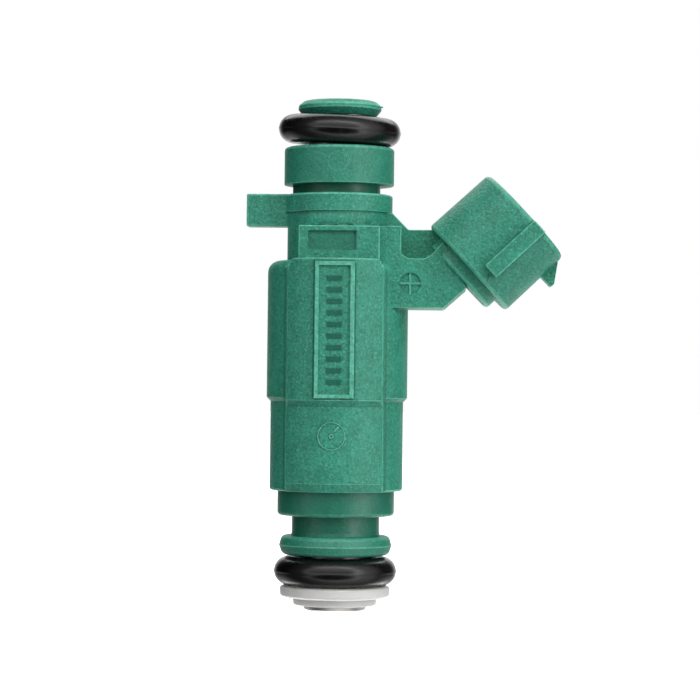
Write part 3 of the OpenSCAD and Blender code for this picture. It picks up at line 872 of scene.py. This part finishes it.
def black_rubber():
    """Smooth black rubber with a trace of grain."""
    made, tree, shader, where = material("black_rubber")
    cloud = spread(tree, noise(tree, where, 2.5, 4), 0.3, 0.7, 0, 1)
    colour = blend(tree, cloud, (0.002, 0.002, 0.0024), (0.004, 0.004, 0.0048))
    tree.links.new(colour, shader.inputs["Base Color"])
    rough = spread(tree, noise(tree, where, 0.8, 4), 0.3, 0.7, 0.2, 0.3)
    tree.links.new(rough, shader.inputs["Roughness"])
    grain = bump(tree, noise(tree, where, 0.15, 3), 0.12, 0.006)
    tree.links.new(grain, shader.inputs["Normal"])
    return made


def pale_nylon(name, first, second, glow):
    """Unfilled translucent nylon."""
    made, tree, shader, where = material(name)
    cloud = spread(tree, noise(tree, where, 2, 3), 0.3, 0.7, 0, 1)
    colour = blend(tree, cloud, first, second)
    tree.links.new(colour, shader.inputs["Base Color"])
    rough = spread(tree, noise(tree, where, 0.6, 3), 0.3, 0.7, 0.3, 0.45)
    tree.links.new(rough, shader.inputs["Roughness"])
    grain = bump(tree, noise(tree, where, 0.5, 3), 0.1, 0.01)
    tree.links.new(grain, shader.inputs["Normal"])
    shader.inputs["Subsurface Weight"].default_value = glow
    shader.inputs["Subsurface Radius"].default_value = (1.0, 0.9, 0.8)
    shader.inputs["Subsurface Scale"].default_value = 2 * MM
    return made


def turned_metal(name, first, second, low_rough, high_rough, groove_mm=0.06):
    """Metal with fine rings left by turning, and slightly uneven brightness."""
    made, tree, shader, where = material(name)
    parts = add(tree, "SeparateXYZ", {"Vector": where})
    radius = add(tree, "VectorMath", {0: add(tree, "CombineXYZ", {
        "X": parts.outputs["X"], "Y": parts.outputs["Y"]}).outputs[0]}, operation="LENGTH")
    rings = add(tree, "CombineXYZ", {"X": radius.outputs["Value"], "Z": parts.outputs["Z"]})
    groove = noise(tree, rings.outputs[0], groove_mm, 3)
    cloud = spread(tree, noise(tree, where, 1.5, 4), 0.3, 0.7, 0, 1)
    colour = blend(tree, cloud, first, second)
    tree.links.new(colour, shader.inputs["Base Color"])
    rough = spread(tree, groove, 0.3, 0.7, low_rough, high_rough)
    tree.links.new(rough, shader.inputs["Roughness"])
    tree.links.new(bump(tree, groove, 0.25, 0.006), shader.inputs["Normal"])
    shader.inputs["Metallic"].default_value = 1
    return made


def wound_copper():
    """Enamelled wire, slightly uneven in colour."""
    made, tree, shader, where = material("enamelled_copper")
    wires = noise(tree, where, 0.4, 3)
    share = spread(tree, wires, 0.35, 0.65, 0, 1)
    colour = blend(tree, share, (0.42, 0.12, 0.05), (0.66, 0.24, 0.10))
    tree.links.new(colour, shader.inputs["Base Color"])
    tree.links.new(spread(tree, wires, 0.3, 0.7, 0.4, 0.25), shader.inputs["Roughness"])
    tree.links.new(bump(tree, wires, 0.2, 0.01), shader.inputs["Normal"])
    shader.inputs["Metallic"].default_value = 0.8
    return made


LOOKS = {
    "green_nylon": moulded_nylon(),
    "black_rubber": black_rubber(),
    "white_nylon": pale_nylon("white_nylon", (0.75, 0.75, 0.73), (0.81, 0.81, 0.79), 0.9),
    "natural_nylon": pale_nylon("natural_nylon", (0.70, 0.66, 0.52), (0.78, 0.74, 0.62), 0.4),
    "bobbin_plastic": pale_nylon("bobbin_plastic", (0.34, 0.25, 0.15), (0.42, 0.32, 0.20), 0.1),
    "stainless_steel": turned_metal(
        "stainless_steel", (0.46, 0.44, 0.42), (0.58, 0.56, 0.54), 0.2, 0.42),
    "magnet_steel": turned_metal(
        "magnet_steel", (0.34, 0.34, 0.36), (0.44, 0.44, 0.46), 0.3, 0.5),
    "spring_steel": turned_metal(
        "spring_steel", (0.42, 0.43, 0.45), (0.52, 0.53, 0.55), 0.2, 0.34),
    "polished_steel": turned_metal(
        "polished_steel", (0.72, 0.72, 0.73), (0.78, 0.78, 0.79), 0.05, 0.1),
    "steel_mesh": turned_metal(
        "steel_mesh", (0.50, 0.49, 0.45), (0.58, 0.57, 0.53), 0.25, 0.4, 0.12),
    "enamelled_copper": wound_copper(),
    "terminal_brass": turned_metal(
        "terminal_brass", (0.56, 0.53, 0.46), (0.66, 0.63, 0.56), 0.3, 0.46, 0.2),
}


def dress(obj, slot):
    """Gives an object the look of a material slot."""
    obj.data.materials.clear()
    obj.data.materials.append(LOOKS[slot])
    return obj


# ---------- the object ----------
made = [
    housing(),
    place(inlet_lip(), "injector", "green_nylon", "inlet_retainer"),
    place(o_ring("upper_seal", UPPER_SEAL_Z, SEAL_LEAN_SIDE, SEAL_LEAN_FRONT), "injector",
          "black_rubber", "upper_o_ring"),
    place(o_ring("lower_seal", LOWER_SEAL_Z), "injector", "black_rubber", "lower_o_ring"),
    place(spacer_ring(), "injector", "green_nylon", "lower_spacer", polish=lightly_polished),
    place(tip_ring(), "injector", "white_nylon", "tip_retaining_ring"),
    place(terminal("terminal_left", -1), "injector", "terminal_brass", "terminal_left"),
    place(terminal("terminal_right", 1), "injector", "terminal_brass", "terminal_right"),
    place(winding(), "injector", "enamelled_copper", "coil_winding", sharp=70),
]
for piece in made:
    dress(piece, piece["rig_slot"])
for part in frame["record"]["subparts"]:
    node = frame["nodes"][part["node"]]
    if not node.hide_render:
        dress(node, part["material_slot"])


# ---------- camera, light and floor ----------
def look_at(obj, place_mm, target_mm, roll=0.0):
    """Stands an object at a point, aimed at another, and turned about its line of sight."""
    ahead = (Vector(target_mm) - Vector(place_mm)).normalized()
    right = ahead.cross(Vector((0, 0, 1))).normalized()
    up = right.cross(ahead)
    turned_up = up * math.cos(roll) - right * math.sin(roll)
    turned_right = right * math.cos(roll) + up * math.sin(roll)
    axes = Matrix((turned_right, turned_up, -ahead)).transposed().to_4x4()
    obj.matrix_world = Matrix.Translation(Vector(place_mm) * MM) @ axes


def camera():
    """Long-lens camera in front, rolled slightly about its line of sight."""
    data = bpy.data.cameras.new("camera")
    data.lens = CAMERA_LENS
    data.sensor_width = 36
    data.clip_start, data.clip_end = 0.01, 100
    obj = bpy.data.objects.new("camera", data)
    bpy.context.scene.collection.objects.link(obj)
    look_at(obj, CAMERA_PLACE, CAMERA_TARGET, CAMERA_ROLL)
    bpy.context.scene.camera = obj


def softbox(name, azimuth, elevation, width, height, power, distance=400):
    """Rectangular light round the object. Azimuth 0 is the camera's side, and 90 is +X."""
    data = bpy.data.lights.new(name, "AREA")
    data.shape = "RECTANGLE"
    data.size, data.size_y = width * MM, height * MM
    data.energy = power
    obj = bpy.data.objects.new(name, data)
    bpy.context.scene.collection.objects.link(obj)
    a, e = math.radians(azimuth), math.radians(elevation)
    spot = Vector((math.sin(a) * math.cos(e), -math.cos(a) * math.cos(e), math.sin(e))) * distance
    centre = Vector((0, 0, 30))
    look_at(obj, centre + spot, centre)
    obj.visible_camera = False


def camera_only(tree, seen, elsewhere):
    """Strength that is one value for the camera's own rays and another for light."""
    ray = add(tree, "LightPath").outputs["Is Camera Ray"]
    node = add(tree, "Mix", {0: ray}, data_type="FLOAT")
    for socket, value in zip([s for s in node.inputs if s.type == "VALUE"][1:], (elsewhere, seen)):
        if isinstance(value, bpy.types.NodeSocket):
            tree.links.new(value, socket)
        else:
            socket.default_value = value
    return node.outputs[0]


def studio():
    """World light by direction: side glow, a ring and a cone round the camera, a backdrop and a
    table behind. The camera itself sees plain white."""
    world = bpy.data.worlds.new("studio")
    bpy.context.scene.world = world
    world.use_nodes = True
    tree = world.node_tree
    direction = add(tree, "SeparateXYZ", {"Vector": add(tree, "TexCoord").outputs["Generated"]})
    across, depth, up = (direction.outputs[axis] for axis in "XYZ")
    glow = spread(tree, across, -0.7, 0.7, GLOW_LEFT, GLOW_RIGHT)
    glow = times(tree, glow, spread(tree, depth, -0.2, 0.2, 1, DARK_BACK))
    ring = spread(tree, up, -0.5, 0.5, RING_LOW, RING_TOP)
    ring = times(tree, ring, spread(tree, across, -0.5, 0, RING_LEFT, 1))
    ring = times(tree, ring, spread(tree, depth, -0.52, -0.42, 1, 0))
    glow = plus(tree, glow, ring)
    front = spread(tree, up, 0, 0.5, FRONT_LOW, FRONT_TOP)
    front = times(tree, front, spread(tree, depth, -0.69, -0.65, 1, 0))
    glow = times(tree, glow, spread(tree, depth, -0.69, -0.65, 0, 1))
    glow = plus(tree, glow, front)
    backdrop = spread(tree, depth, 0.8, 0.97, 0, BACKDROP)
    table = spread(tree, up, -0.5, -0.15, TABLE, 0)
    table = times(tree, table, spread(tree, depth, 0.1, 0.7, 0, 1))
    glow = plus(tree, glow, math_node(tree, "MAXIMUM", backdrop, table))
    background = tree.nodes["Background"]
    background.inputs["Color"].default_value = (1, 1, 1, 1)
    tree.links.new(camera_only(tree, 1.0, glow), background.inputs["Strength"])
    softbox("strip_right", 43, 0, 50, 360, 0.11)
    softbox("strip_top", 0, 55, 520, 120, 0.26)
    softbox("back_top", 180, 52, 500, 300, 1.0)
    softbox("back_low", 180, -50, 500, 200, 0.7)
    bpy.context.scene.view_settings.view_transform = "Standard"


def floor():
    """White card that only the camera sees, so that light reaches the object from below too."""
    mesh = bpy.data.meshes.new("floor")
    corners = [(x * FLOOR_HALF_W, y * FLOOR_HALF_W, FLOOR_Z)
               for x, y in ((-1, -1), (1, -1), (1, 1), (-1, 1))]
    mesh.from_pydata(corners, [], [(0, 1, 2, 3)])
    obj = bpy.data.objects.new("floor", mesh)
    bpy.context.scene.collection.objects.link(obj)
    look, tree, shader, where = material("floor_white")
    cloud = blend(tree, spread(tree, noise(tree, where, 300, 2), 0.3, 0.7, 0, 1),
                  (0.78, 0.78, 0.78), (0.8, 0.8, 0.8))
    tree.links.new(cloud, shader.inputs["Base Color"])
    shader.inputs["Roughness"].default_value = 0.9
    shader.inputs["Specular IOR Level"].default_value = 0.1
    shader.inputs["Emission Color"].default_value = (1, 1, 1, 1)
    shader.inputs["Emission Strength"].default_value = 1
    mesh.materials.append(look)
    obj.visible_diffuse = False
    obj.visible_glossy = False
    obj.visible_transmission = False
    obj.visible_shadow = False


camera()
studio()
floor()
